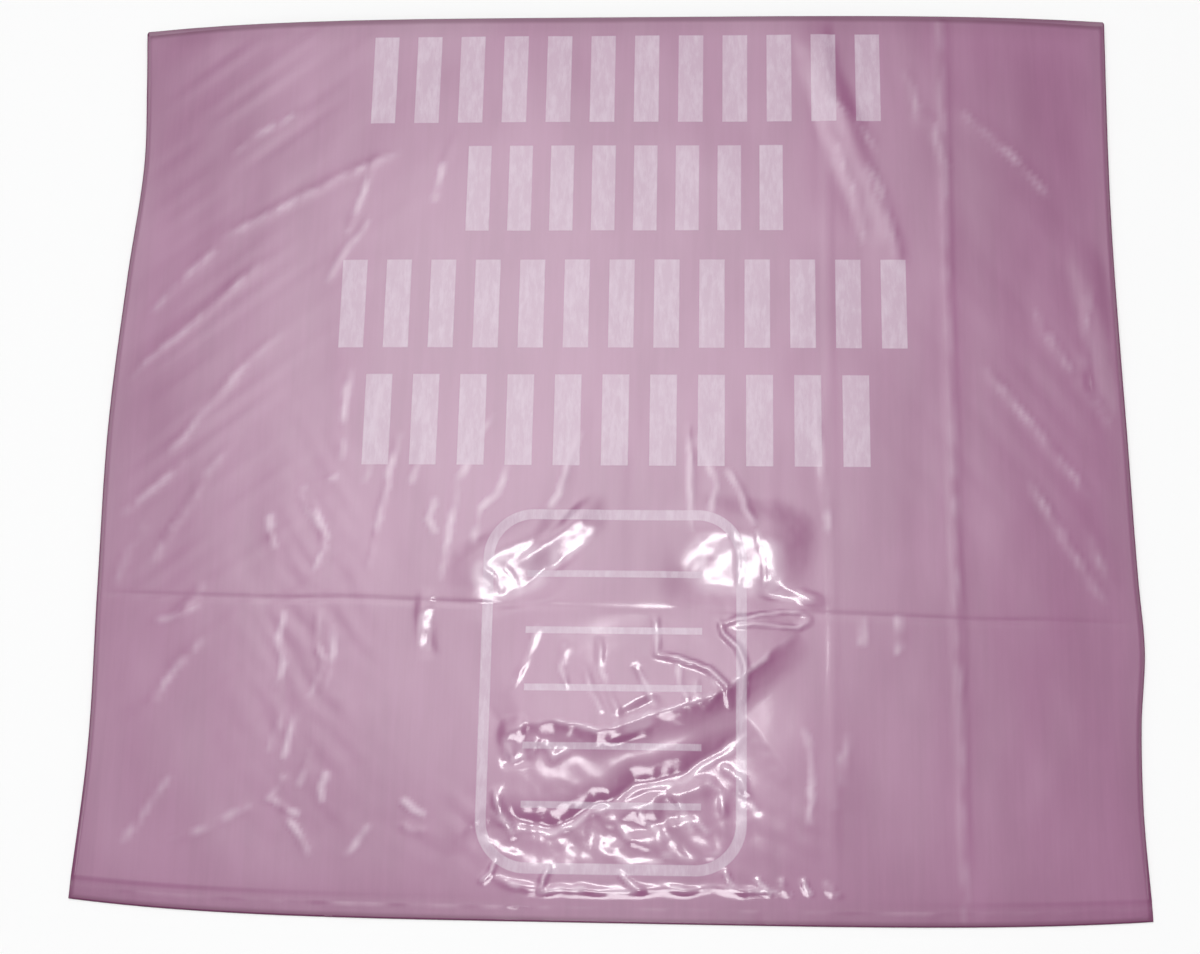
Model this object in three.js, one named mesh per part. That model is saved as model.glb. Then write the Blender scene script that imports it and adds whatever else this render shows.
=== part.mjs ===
// A clinical waste bag of blown polythene film, lying empty and flat on its back panel.
// It is one piece: a film tube, folded flat at both sides, open at the mouth (+Y) and
// closed by a heat weld across the bottom (-Y), with a short skirt of film below the weld.
// Millimetres, +X across the bag, +Y towards the mouth, +Z up. The origin is on the floor,
// under the middle of the bag.
import * as THREE from "three";

// Driving dimensions.
const bagWidth = 600; // across the flat bag, between its side folds
const bagLength = 556; // from the bottom edge to the mouth
const filmThickness = 0.5; // stands for a film of about 0.055
const sideAir = 1.1; // gap between the panels beside a side fold
const middleAir = 5.2; // what the trapped air adds to that gap in the middle
const mouthAir = 4.2; // what it still adds at the middle of the mouth
const mouthEase = 110; // length over which the air falls to mouthAir
const mouthLip = 4; // how far the back panel stands out beyond the front one
const lipEase = 40; // length over which that difference builds up
const skirtLength = 8; // free film below the weld
const weldWidth = 3; // pressed band of the heat weld
const weldSqueeze = 0.2; // how much the weld is thinner than two films
const weldFlank = 1; // slope on each side of the pressed band
const weldAir = 0.4; // gap where the inside ends at the weld
const weldRise = 17; // how soon the panels part above the weld
const leftCornerPull = 8; // how far the left corners draw in along Y
const rightCornerPull = 6; // how far the right corners draw in along Y
const leastAir = 0.35; // the panels never come closer than this inside

// Creases left by folding the bag for its carton.
const crossCreaseFromBottom = 176; // on the bag's centre line
const crossCreaseSlant = -0.022; // its Y changes by this much for each unit of X
const crossCreaseDepth = 1.6;
const crossCreaseHalf = 6; // half width
const longCreaseFromSide = 101.5; // from the right side fold
const longCreaseDepth = 0.9;
const longCreaseHalf = 5;

// How fine the surfaces are cut into flat faces.
const plainStep = 28;
const crumpledStep = 10;
const foldSteps = 4;
const backSteps = 4;
const creaseCuts = [-1, -0.4, 0, 0.4, 1]; // across a crease, in shares of its reach
const creaseReach = 1.6; // how many half widths a crease's cuts reach to each side
const clearOfCrease = 3; // least distance from a crease's last cut to the next one

// The side folds wander: [share of the half length, distance outwards].
const leftWander = [
  [-1, 2],
  [-0.7, -1.8],
  [-0.35, 1],
  [0, 3.4],
  [0.35, 0],
  [0.65, -4.2],
  [0.85, -1.2],
  [1, 1.4],
];
const rightWander = [
  [-1, 0.5],
  [-0.75, -2],
  [-0.58, -0.6],
  [-0.42, 3.4],
  [-0.28, 2],
  [0, 0.4],
  [0.55, -2.2],
  [1, 0],
];

// The large folds of the crumpled part of the front panel. A path runs in shares of the
// half width and the half length, from left to right. rise is positive for a ridge, and
// above and below are its widths on the mouth's side and on the weld's side.
const largeFolds = [
  {
    // the long valley that runs up to the right
    path: [
      [-0.2, -0.75],
      [-0.12, -0.82],
      [0.08, -0.73],
      [0.24, -0.66],
      [0.36, -0.46],
    ],
    rise: -3.6,
    above: 30,
    below: 14,
  },
  {
    // the lip on the mouth's side of that valley
    path: [
      [-0.16, -0.61],
      [0, -0.63],
      [0.13, -0.57],
      [0.24, -0.48],
    ],
    rise: 2.4,
    above: 14,
    below: 20,
  },
  {
    // the film tented up over the cross crease, on the left
    path: [
      [-0.25, -0.28],
      [-0.12, -0.28],
      [0, -0.21],
    ],
    rise: 2.2,
    above: 26,
    below: 9,
  },
  {
    // the same, on the right
    path: [
      [0.13, -0.31],
      [0.31, -0.32],
    ],
    rise: 2.6,
    above: 34,
    below: 8,
  },
];

// The crumpled part of the front panel, in shares of the half width and the half length.
const crumpledAcross = [-0.32, 0.44];
const crumpledAlong = [-0.9, -0.1];

const halfWidth = bagWidth / 2;
const halfLength = bagLength / 2;
const weldTop = -halfLength + skirtLength + weldWidth + 2 * weldFlank; // where the inside ends
const crossCreaseAt = -halfLength + crossCreaseFromBottom;
const longCreaseAt = halfWidth - longCreaseFromSide;
const twoFilms = 2 * filmThickness;

// A smooth curve through [share, value] points, as a function of the share.
function smoothThrough(points) {
  const shares = points.map((point) => point[0]);
  const values = points.map((point) => point[1]);
  const curve = new THREE.CubicInterpolant(shares, values, 1);
  return (share) => curve.evaluate(THREE.MathUtils.clamp(share, -1, 1))[0];
}

const leftOut = smoothThrough(leftWander);
const rightOut = smoothThrough(rightWander);

// A rounded bump that is 1 at no distance and fades out past its half width.
function bump(distance, half) {
  return Math.exp(-((distance / half) ** 2));
}

// What one large fold adds at a place: a bump across its path, wider on one side.
function foldRise(x, y, fold) {
  const point = new THREE.Vector3(x, y, 0);
  const corners = fold.path.map(
    ([across, along]) =>
      new THREE.Vector3(across * halfWidth, along * halfLength, 0),
  );
  const foot = new THREE.Vector3();
  const nearest = { distance: Infinity, above: true };
  for (let i = 1; i < corners.length; i++) {
    const piece = new THREE.Line3(corners[i - 1], corners[i]);
    piece.closestPointToPoint(point, true, foot);
    const distance = foot.distanceTo(point);
    if (distance < nearest.distance) {
      nearest.distance = distance;
      nearest.above = y > foot.y;
    }
  }
  const half = nearest.above ? fold.above : fold.below;
  return fold.rise * bump(nearest.distance, half / 2);
}

// What creases and folds add to the gap under the front panel.
function relief(x, y) {
  const crossCreaseY = crossCreaseAt + crossCreaseSlant * x;
  let rise = -crossCreaseDepth * bump(y - crossCreaseY, crossCreaseHalf);
  rise -= longCreaseDepth * bump(x - longCreaseAt, longCreaseHalf);
  for (const fold of largeFolds) rise += foldRise(x, y, fold);
  return rise;
}

// How far the panels have parted at a place along the bag: 0 at the weld, nearly 1 above.
function partedAt(y) {
  return 1 - Math.exp(-Math.max(y - weldTop, 0) / weldRise);
}

// The gap beside a side fold.
function edgeAir(y) {
  return THREE.MathUtils.lerp(weldAir, sideAir, partedAt(y));
}

// The gap between the panels. across runs from -1 at the left fold to 1 at the right one.
function airAt(across, x, y) {
  const pillow = 1 - Math.abs(across) ** 3;
  const towardsMouth = THREE.MathUtils.smoothstep(
    y,
    halfLength - mouthEase,
    halfLength,
  );
  const trapped = THREE.MathUtils.lerp(middleAir, mouthAir, towardsMouth);
  const clearOfFold = 1 - Math.abs(across) ** 12;
  const added = pillow * trapped + clearOfFold * relief(x, y);
  const full = edgeAir(y) + partedAt(y) * added;
  return Math.max(full, Math.min(edgeAir(y), leastAir));
}

// The rows along the bag, from the bottom edge to the mouth. Rows below the weld are solid.
function rowsAlong() {
  const skirtTop = -halfLength + skirtLength;
  const pressed = twoFilms * (1 - weldSqueeze);
  const rows = [
    { y: -halfLength, solid: twoFilms },
    { y: skirtTop, solid: twoFilms },
    { y: skirtTop + weldFlank, solid: pressed },
    { y: skirtTop + weldFlank + weldWidth, solid: pressed },
  ];
  const crumpled = crumpledAlong.map((share) => share * halfLength);
  const places = [
    weldTop,
    weldTop + weldRise / 3,
    ...steps(weldTop + weldRise, halfLength, crumpled),
    halfLength,
  ];
  for (const y of withCreaseCuts(places, crossCreaseAt, crossCreaseHalf))
    rows.push({ y, solid: null });
  return rows;
}

// Places with a crease's own cuts put in where it runs.
function withCreaseCuts(places, crease, half) {
  const reach = creaseReach * half;
  const clear = places.filter(
    (place) => Math.abs(place - crease) > reach + clearOfCrease,
  );
  const cuts = creaseCuts.map((share) => crease + share * reach);
  return [...clear, ...cuts].sort((a, b) => a - b);
}

// Places from one end up to the other, close together within the crumpled stretch.
function steps(from, to, crumpled) {
  const places = [];
  let place = from;
  while (place < to - crumpledStep) {
    places.push(place);
    const inside = place > crumpled[0] - crumpledStep && place < crumpled[1];
    place += inside ? crumpledStep : plainStep;
  }
  return places;
}

// The places across the front panel, in shares of its width from -1 to 1.
function sharesAcross() {
  const crumpled = crumpledAcross.map((share) => share * halfWidth);
  const places = [...steps(-halfWidth, halfWidth, crumpled), halfWidth];
  const cut = withCreaseCuts(places, longCreaseAt, longCreaseHalf);
  return cut.map((x) => x / halfWidth);
}

// The loop of one row: along the front panel, down the right fold, back along the back
// panel and up the left fold. inset is 0 for the outer skin and the film for the inner one.
function loopOf(row, shares, inset) {
  const along = row.y / halfLength;
  const edgeHeight = row.solid ?? twoFilms + edgeAir(row.y);
  const foldRadius = edgeHeight / 2;
  const left = -halfWidth - leftOut(along) + foldRadius;
  const right = halfWidth + rightOut(along) - foldRadius;
  const lipShare = THREE.MathUtils.smoothstep(
    row.y,
    halfLength - lipEase,
    halfLength,
  );
  const loop = [];

  // A row leans with the cross crease, but lies straight at both ends of the bag.
  const slantedY = (x) => row.y + crossCreaseSlant * x * Math.max(0, 1 - along ** 2);

  // The corners draw in, and the back panel ends further out than the front one.
  function add(across, x, z, back) {
    const pull = across < 0 ? leftCornerPull : rightCornerPull;
    const drawnIn = pull * across ** 4 * along ** 3;
    const lip = mouthLip * (1 - back) * lipShare;
    loop.push(new THREE.Vector3(x, slantedY(x) - drawnIn - lip, z));
  }

  for (const across of shares) {
    const x = THREE.MathUtils.lerp(left, right, (across + 1) / 2);
    const top = row.solid ?? twoFilms + airAt(across, x, slantedY(x));
    add(across, x, top - inset, 0);
  }
  for (let i = 1; i <= foldSteps; i++) {
    const angle = Math.PI / 2 - (Math.PI * i) / foldSteps;
    const reach = (foldRadius - inset) * Math.cos(angle);
    const height = foldRadius + (foldRadius - inset) * Math.sin(angle);
    add(1, right + reach, height, (1 - Math.sin(angle)) / 2);
  }
  for (let i = 1; i < backSteps; i++) {
    const across = 1 - (2 * i) / backSteps;
    const x = THREE.MathUtils.lerp(left, right, (across + 1) / 2);
    add(across, x, inset, 1);
  }
  for (let i = foldSteps; i >= 1; i--) {
    const angle = Math.PI / 2 - (Math.PI * i) / foldSteps;
    const reach = (foldRadius - inset) * Math.cos(angle);
    const height = foldRadius + (foldRadius - inset) * Math.sin(angle);
    add(-1, left - reach, height, (1 - Math.sin(angle)) / 2);
  }
  return loop;
}

// Joins two neighbouring loops with a band of faces. turned makes the faces look inwards.
function joinLoops(indices, firstA, firstB, count, turned) {
  for (let i = 0; i < count; i++) {
    const next = (i + 1) % count;
    const [a, b] = [firstA + i, firstA + next];
    const [c, d] = [firstB + next, firstB + i];
    if (turned) indices.push(a, c, b, a, d, c);
    else indices.push(a, b, c, a, c, d);
  }
}

// Closes a loop with flat faces. Without turned, they look towards -Y.
function capLoop(indices, loop, first, turned) {
  const outline = loop.map((point) => new THREE.Vector2(point.x, point.z));
  for (const face of THREE.ShapeUtils.triangulateShape(outline, [])) {
    const corners = face.map((i) => outline[i]);
    const flipped = THREE.ShapeUtils.area(corners) < 0 !== turned;
    const [a, b, c] = face.map((i) => first + i);
    if (flipped) indices.push(a, c, b);
    else indices.push(a, b, c);
  }
}

// The bag's one closed surface: the outer skin, the rim of the mouth and the inside.
function bagGeometry() {
  const rows = rowsAlong();
  const shares = sharesAcross();
  const outer = rows.map((row) => loopOf(row, shares, 0));
  const inner = rows
    .filter((row) => row.solid === null)
    .map((row) => loopOf(row, shares, filmThickness));
  const count = outer[0].length;
  const loops = [...outer, ...inner];
  const indices = [];
  for (let i = 0; i + 1 < outer.length; i++)
    joinLoops(indices, i * count, (i + 1) * count, count, false);
  const innerStart = outer.length * count;
  for (let i = 0; i + 1 < inner.length; i++)
    joinLoops(
      indices,
      innerStart + i * count,
      innerStart + (i + 1) * count,
      count,
      true,
    );
  const outerMouth = (outer.length - 1) * count;
  const innerMouth = innerStart + (inner.length - 1) * count;
  joinLoops(indices, outerMouth, innerMouth, count, false);
  capLoop(indices, outer[0], 0, false);
  capLoop(indices, inner[0], innerStart, true);

  const geometry = new THREE.BufferGeometry();
  const places = loops.flat().flatMap((point) => point.toArray());
  geometry.setAttribute("position", new THREE.Float32BufferAttribute(places, 3));
  geometry.setIndex(indices);
  geometry.computeBoundingBox();
  const middle = geometry.boundingBox.getCenter(new THREE.Vector3());
  geometry.translate(-middle.x, -middle.y, 0);
  geometry.computeVertexNormals();
  return geometry;
}

const purpleFilm = new THREE.MeshStandardMaterial({
  color: 0xa8749a,
  roughness: 0.35,
  metalness: 0,
});

const bag = new THREE.Mesh(bagGeometry(), purpleFilm);
bag.name = "bag";

const wasteBag = new THREE.Group();
wasteBag.add(bag);

export default wasteBag;
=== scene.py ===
# %% [markdown]
# # An empty waste bag of purple film, lying flat
#
# The real thing is a length of blown polythene tube. It was pressed flat, welded across the
# bottom, printed in one pale colour, folded for its carton and then opened out on a table.
# What the eye sees is mostly how the film bends the light: a soft haze in the middle, two
# packing creases, and a crumpled place full of small bright glints.
#
# The rigid model already fixes the size and the place, so the script starts by loading it.

import math

import bpy
import numpy as np
from mathutils import Euler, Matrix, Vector


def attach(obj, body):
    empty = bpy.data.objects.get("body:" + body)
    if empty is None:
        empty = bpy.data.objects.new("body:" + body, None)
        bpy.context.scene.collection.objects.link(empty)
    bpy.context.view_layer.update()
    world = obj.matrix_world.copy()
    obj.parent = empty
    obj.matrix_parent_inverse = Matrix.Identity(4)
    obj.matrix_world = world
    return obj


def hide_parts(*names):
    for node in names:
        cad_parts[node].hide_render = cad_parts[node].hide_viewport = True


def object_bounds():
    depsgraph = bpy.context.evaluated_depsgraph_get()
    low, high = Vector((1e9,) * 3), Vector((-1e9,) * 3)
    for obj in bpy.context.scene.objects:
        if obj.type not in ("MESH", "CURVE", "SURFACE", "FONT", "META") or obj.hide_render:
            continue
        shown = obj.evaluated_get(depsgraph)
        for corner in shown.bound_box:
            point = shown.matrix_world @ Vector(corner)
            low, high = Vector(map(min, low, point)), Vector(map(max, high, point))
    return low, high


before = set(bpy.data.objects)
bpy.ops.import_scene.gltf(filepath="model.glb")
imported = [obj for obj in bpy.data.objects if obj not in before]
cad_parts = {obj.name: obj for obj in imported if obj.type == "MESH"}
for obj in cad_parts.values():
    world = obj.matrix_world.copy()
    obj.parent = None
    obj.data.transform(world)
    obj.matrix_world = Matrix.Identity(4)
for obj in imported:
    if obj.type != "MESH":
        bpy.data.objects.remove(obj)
cad_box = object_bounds()
bpy.ops.object.select_all(action="DESELECT")
scene = bpy.context.scene
print("rigid model:", [[round(c, 4) for c in corner] for corner in cad_box])

# %% [markdown]
# ## Sizes
#
# Film is measured in millimetres and Blender works in metres, so every length below is in
# millimetres and is turned into metres once, when the mesh is made. The width is the one
# between the side folds. The length comes from the rigid model's box.

# %% Driving sizes
MM = 0.001
BAG_WIDTH = 600.0
BAG_LENGTH = (cad_box[1][1] - cad_box[0][1]) / MM
HALF_WIDTH = BAG_WIDTH / 2
HALF_LENGTH = BAG_LENGTH / 2

# air between the panels
SIDE_HEIGHT = 1.7  # of the film where it turns over at a side fold
MIDDLE_AIR = 4.6  # what the trapped air adds in the middle
MOUTH_AIR = 4.0
MOUTH_EASE = 110.0  # length over which the air falls to the mouth's
LOWEST = 0.45  # of the front panel, which never cuts the back one

# the mouth and the corners
MOUTH_LIP = 4.0  # how far the back panel stands out beyond the front one
LIP_EASE = 40.0  # length over which the lip starts
CORNER_PULL = (8.0, 6.0)  # how far the left and the right corners draw in

# the weld and the free film below it
SKIRT_LENGTH = 8.0
WELD_WIDTH = 3.0
WELD_FLANK = 1.0  # between the weld and the free film on either side
WELD_HEIGHT = 0.95
SIDE_RISE = 60.0  # how soon the side folds open above the weld
WELD_RISE = 100.0  # how soon the panels part above the weld

# the packing creases
CREASE_FROM_BOTTOM = 176.0
CREASE_SLANT = -0.022
LONG_CREASE_FROM_SIDE = 101.5
FAINT_CREASE_GAP = 71.0  # from the long crease to a fainter one beside it

CREASE_Y = -HALF_LENGTH + CREASE_FROM_BOTTOM
LONG_CREASE_X = HALF_WIDTH - LONG_CREASE_FROM_SIDE
WELD_TOP = -HALF_LENGTH + SKIRT_LENGTH + WELD_WIDTH + 2 * WELD_FLANK
print("film panel:", BAG_WIDTH, "by", round(BAG_LENGTH, 1), "mm")

# %% [markdown]
# ## The camera
#
# The bag is seen from above and a little from below its bottom edge, which makes the far
# edge look shorter than the near one. The place and the tilt come from that outline, on
# the floor plane, and the lens from how fast the sides run together.

# %% Camera
CAMERA_PLACE = Vector((0.05465, -0.31873, 1.07588))
CAMERA_TILT = Euler([math.radians(angle) for angle in (15.434, 2.96, 1.158)])
SENSOR = 36.0
LENS = 57.0

camera_data = bpy.data.cameras.new("camera")
camera_data.sensor_width = SENSOR
camera_data.lens = LENS
camera = bpy.data.objects.new("camera", camera_data)
camera.location = CAMERA_PLACE
camera.rotation_euler = CAMERA_TILT
scene.collection.objects.link(camera)
scene.camera = camera

# %% [markdown]
# ## A grid of film
#
# A crumpled sheet could be simulated as cloth, but film this thin would need far more
# points than a short simulation can move, and its creases would fall where chance puts
# them. Here the front panel is a fine grid whose height is worked out at each point, and
# each crease is laid in one by one, as a sculptor would. The grid is finer where the film is
# crumpled than where it only lies flat.

# %% Grid lines
FINEST_STEP = 1.45
FINE_STEP = 2.0
PLAIN_STEP = 3.0
ACROSS_SPANS = [(-205.0, FINE_STEP), (-84.0, FINEST_STEP), (122.0, PLAIN_STEP)]
ALONG_SPANS = [(-HALF_LENGTH, FINEST_STEP), (-40.0, FINE_STEP), (62.0, PLAIN_STEP)]


def graded(start, end, spans):
    """Places from start to end. Each span is where it starts and its step."""
    places = [start]
    while places[-1] < end:
        step = PLAIN_STEP
        for span_start, span_step in spans:
            if places[-1] >= span_start:
                step = span_step
        places.append(places[-1] + step)
    places = np.array(places)
    return start + (places - start) * (end - start) / (places[-1] - start)


columns = graded(-HALF_WIDTH, HALF_WIDTH, ACROSS_SPANS) / HALF_WIDTH
upper_rows = graded(WELD_TOP, HALF_LENGTH, ALONG_SPANS)
skirt_top = -HALF_LENGTH + SKIRT_LENGTH
lower_rows = np.array(
    [
        -HALF_LENGTH,
        -HALF_LENGTH + 1.0,
        -HALF_LENGTH + 3.0,
        -HALF_LENGTH + 5.5,
        skirt_top - 0.6,
        skirt_top,
        skirt_top + WELD_FLANK,
        skirt_top + WELD_FLANK + WELD_WIDTH / 2,
        skirt_top + WELD_FLANK + WELD_WIDTH,
    ]
)
rows = np.concatenate([lower_rows, upper_rows])
print("front panel:", len(columns), "by", len(rows), "points")

# %% [markdown]
# ## The outline
#
# The side folds wander by a few millimetres and the corners draw in, because the film
# was wound and folded under tension. Each side is a smooth curve through a few places,
# given as a share of the half length and a distance outwards.


# %% Wandering sides
def smooth_curve(points):
    """A smooth function through (place, value) points, with a slope from its neighbours."""
    places, values = np.array(points, float).T
    slopes = np.gradient(values, places)

    def curve(at):
        at = np.clip(at, places[0], places[-1])
        i = np.clip(np.searchsorted(places, at) - 1, 0, len(places) - 2)
        gap = places[i + 1] - places[i]
        t = (at - places[i]) / gap
        blend = t * t * (3 - 2 * t)
        start = (t - 2 * t**2 + t**3) * gap * slopes[i]
        end = (t**3 - t**2) * gap * slopes[i + 1]
        return values[i] * (1 - blend) + values[i + 1] * blend + start + end

    return curve


LEFT_WANDER = [
    (-1, 2), (-0.7, -1.8), (-0.35, 1), (0, 3.4),
    (0.35, 0), (0.65, -4.2), (0.85, -1.2), (1, 1.4),
]
RIGHT_WANDER = [
    (-1, 0.5), (-0.75, -2), (-0.58, -0.6), (-0.42, 3.4),
    (-0.28, 2), (0, 0.4), (0.55, -2.2), (1, 0),
]
left_out = smooth_curve(LEFT_WANDER)
right_out = smooth_curve(RIGHT_WANDER)


def smoothstep(value, low, high):
    """0 up to low and 1 from high on, smooth between."""
    t = np.clip((value - low) / (high - low), 0, 1)
    return t * t * (3 - 2 * t)


# %% [markdown]
# ## One fold at a time
#
# A fold in thin film is sharp along its line and dies away to both sides, often at
# different widths. It also fades out at its two ends. One function makes them all: a
# height, a width to the left and to the right of the line, and the line's points.


# %% The fold function
END_FADE = 0.22  # share of its line over which a fold starts, and again ends


def fold_height(x, y, rise, left, right, line, sharp=1.6):
    """What one fold adds. left and right are its widths, seen along its line."""
    line = np.array(line, float)
    lengths = np.hypot(*np.diff(line, axis=0).T)
    whole = lengths.sum()
    widest = max(left, right)
    low, high = line.min(axis=0) - widest, line.max(axis=0) + widest
    near = (x > low[0]) & (x < high[0]) & (y > low[1]) & (y < high[1])
    px, py = x[near], y[near]
    nearest = np.full(px.shape, np.inf)
    side = np.zeros(px.shape)
    along = np.zeros(px.shape)
    passed = 0.0
    for start, end, length in zip(line[:-1], line[1:], lengths):
        run = (end - start) / length
        s = np.clip((px - start[0]) * run[0] + (py - start[1]) * run[1], 0, length)
        dx = px - start[0] - s * run[0]
        dy = py - start[1] - s * run[1]
        distance = np.hypot(dx, dy)
        closer = distance < nearest
        nearest = np.where(closer, distance, nearest)
        side = np.where(closer, run[0] * dy - run[1] * dx, side)
        along = np.where(closer, (passed + s) / whole, along)
        passed += length
    width = np.where(side > 0, left, right)
    shape = np.clip(1 - nearest / width, 0, 1) ** sharp
    fade = np.clip(np.minimum(along, 1 - along) / END_FADE, 0, 1)
    added = np.zeros(x.shape)
    added[near] = rise * shape * fade * (2 - fade)
    return added


# %% [markdown]
# ## The folds of this bag
#
# They were placed one by one: first the big trough, which ends in a long step down towards the
# weld, then what hangs on it, then the thin streaks that run from the sides. Each fold is
# its rise, its widths to the left and the right, and its line, in millimetres. The left
# side is the one towards the mouth when the line runs to the right.

# %% Big folds of the crumpled place
BIG_FOLDS = [
    # the long step down towards the weld
    (-1.7, 15, 190, [(-64, -212), (-57, -218), (-46, -223), (-30, -226), (-18, -221), (-9, -214),
                     (3, -211), (17, -201), (32, -198), (46, -194), (57, -185), (69, -178),
                     (82, -168)]),
    # its lip on the mouth's side
    (2.0, 58, 18, [(-57, -176), (-45, -169), (-29, -168), (-18, -169), (-4, -173), (8, -169),
                   (24, -163), (47, -157), (66, -150), (82, -136), (96, -124), (108, -114)]),
    # the curved ridges between the crease and the trough
    (0.9, 3.5, 5, [(25, -128), (41, -130), (58, -136), (68, -147), (71, -160)]),
    (0.9, 3.5, 4, [(62, -107), (66, -116), (74, -124), (79, -138), (77, -156)]),
    # a little tuck that points to the right
    (0.8, 3, 3, [(62, -112), (75, -107), (95, -104), (109, -103), (117, -107)]),
    (0.7, 3, 3, [(117, -107), (108, -112), (87, -110), (70, -111)]),
]

# %% Small folds of the crumpled place
SMALL_FOLDS = [
    # the thin ridge at the foot of the step
    (0.35, 2.5, 4, [(-66, -216), (-59, -222), (-47, -227), (-30, -230), (-17, -225), (-8, -218),
                    (4, -215), (19, -205), (33, -202), (47, -198), (58, -189), (70, -182),
                    (82, -172)]),
    (0.7, 3.5, 4, [(27, -106), (28, -118), (28, -130)]),
    (0.4, 4, 4, [(-6, -118), (-4, -135), (2, -152), (8, -168)]),
    (0.5, 4, 4, [(-14, -136), (-9, -150), (-2, -163)]),
    (0.5, 4, 5, [(-40, -112), (-46, -130), (-54, -150)]),
    (0.4, 4, 4, [(-24, -122), (-27, -136), (-22, -150)]),
    (-0.6, 5, 4, [(14, -134), (22, -146), (28, -160)]),
    (0.7, 4, 4, [(40, -132), (41, -146), (47, -156)]),
    (0.6, 4, 4, [(50, -140), (50, -150), (56, -158), (62, -150), (58, -140)]),
    (1.0, 6, 5, [(-57, -180), (-52, -190), (-44, -186), (-38, -176)]),
    (0.7, 5, 5, [(-36, -178), (-30, -188), (-20, -182)]),
    (1.2, 6, 5, [(-63, -204), (-60, -214), (-56, -224), (-50, -233)]),
    (-0.4, 4, 5, [(-10, -226), (0, -232), (3, -241)]),
    (0.5, 4, 4, [(4, -220), (12, -231), (26, -238)]),
    (0.5, 4, 5, [(18, -215), (22, -222), (36, -233)]),
    (-0.4, 4, 4, [(32, -210), (44, -217), (49, -228)]),
    (0.5, 4, 4, [(40, -207), (44, -220), (60, -229)]),
    (0.6, 5, 4, [(56, -198), (65, -206), (67, -221)]),
    (0.6, 4, 5, [(64, -190), (76, -198), (80, -208)]),
    (0.4, 4, 4, [(-2, -238), (14, -246), (34, -244)]),
    (0.4, 4, 4, [(30, -240), (50, -244), (66, -238)]),
    (-0.4, 5, 5, [(70, -205), (80, -211), (86, -219)]),
    (0.5, 5, 5, [(-70, -232), (-60, -240), (-46, -244)]),
    (-0.3, 2.5, 2.5, [(70, -52), (74, -70), (74, -92)]),
    (-0.25, 2.5, 2.5, [(84, -54), (88, -72), (90, -92)]),
    (-0.25, 3, 3, [(-62, -76), (-56, -84), (-50, -94)]),
    (0.4, 3, 3, [(-76, -76), (-68, -84), (-60, -94)]),
]

# %% Upright wrinkles above the crease and on the left
UPRIGHT_FOLDS = [
    (0.6, 3, 4, [(-70, 16), (-80, -2), (-90, -28), (-94, -60), (-98, -88)]),
    (0.7, 3, 3, [(-126, 4), (-131, -22), (-136, -50), (-141, -82)]),
    (0.4, 3, 4, [(-110, 20), (-112, -6), (-118, -30)]),
    (0.5, 4, 3, [(-60, -12), (-66, -34), (-77, -44), (-80, -66)]),
    (0.6, 3, 3, [(-102, -36), (-106, -50), (-102, -60)]),
    (0.6, 3, 3, [(-18, 6), (-24, -10), (-30, -34), (-42, -50)]),
    (0.8, 3, 3, [(45, 12), (46, -10), (46, -36), (47, -58)]),
    (0.5, 3, 3, [(50, 2), (56, -14), (61, -30), (58, -48)]),
    (0.7, 4, 3, [(66, -18), (75, -30), (79, -42), (84, -54)]),
    (0.4, 3, 3, [(-158, 44), (-160, 12), (-160, -16)]),
    (0.4, 3, 3, [(-138, 36), (-142, 8), (-140, -10), (-146, -30)]),
    (0.7, 3, 3, [(-160, -24), (-172, -29), (-184, -33)]),
    (0.6, 3, 3, [(-184, -33), (-180, -42), (-170, -56), (-167, -68), (-175, -84)]),
    (0.5, 3, 3, [(-178, -36), (-172, -50), (-164, -64)]),
    (0.5, 3, 3, [(-200, -46), (-200, -58), (-197, -70)]),
    (0.6, 3, 3, [(-188, -104), (-191, -122), (-187, -136), (-190, -152)]),
    (0.7, 3, 3, [(-168, -102), (-170, -122), (-164, -134), (-168, -150), (-172, -160)]),
    (0.6, 3, 3, [(-160, -112), (-158, -130), (-163, -148), (-166, -158)]),
    (0.5, 3, 3, [(-188, -160), (-188, -172), (-192, -188)]),
    (0.5, 3, 3, [(-176, -162), (-182, -178), (-184, -192)]),
    (0.6, 3, 3, [(-168, -184), (-172, -198), (-174, -208)]),
    (0.9, 4, 4, [(-158, -196), (-161, -206), (-160, -216)]),
    (0.7, 3, 3, [(-182, -200), (-188, -208), (-192, -216)]),
    (0.7, 3, 3, [(-180, -224), (-172, -234), (-166, -246)]),
    (0.5, 3, 3, [(-190, -212), (-180, -220), (-172, -222)]),
    (0.9, 3.5, 4, [(-132, -226), (-138, -234), (-146, -246)]),
    (0.7, 4, 4, [(-116, -212), (-108, -218), (-100, -222)]),
    (0.6, 4, 4, [(-116, -226), (-108, -230), (-100, -230)]),
    (0.5, 4, 4, [(-150, 180), (-158, 150), (-166, 128)]),
    (0.4, 4, 4, [(-100, 196), (-108, 172), (-112, 148)]),
    (0.4, 3.5, 3.5, [(120, 30), (122, -20), (126, -60)]),
    (0.3, 3.5, 3.5, [(112, -168), (116, -196), (114, -224)]),
    (0.35, 3.5, 3.5, [(136, -170), (132, -198), (128, -216)]),
    (0.4, 4, 3.5, [(145, -104), (146, -116), (144, -124)]),
    (0.4, 4, 3.5, [(164, -104), (166, -118), (164, -128)]),
]

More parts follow.
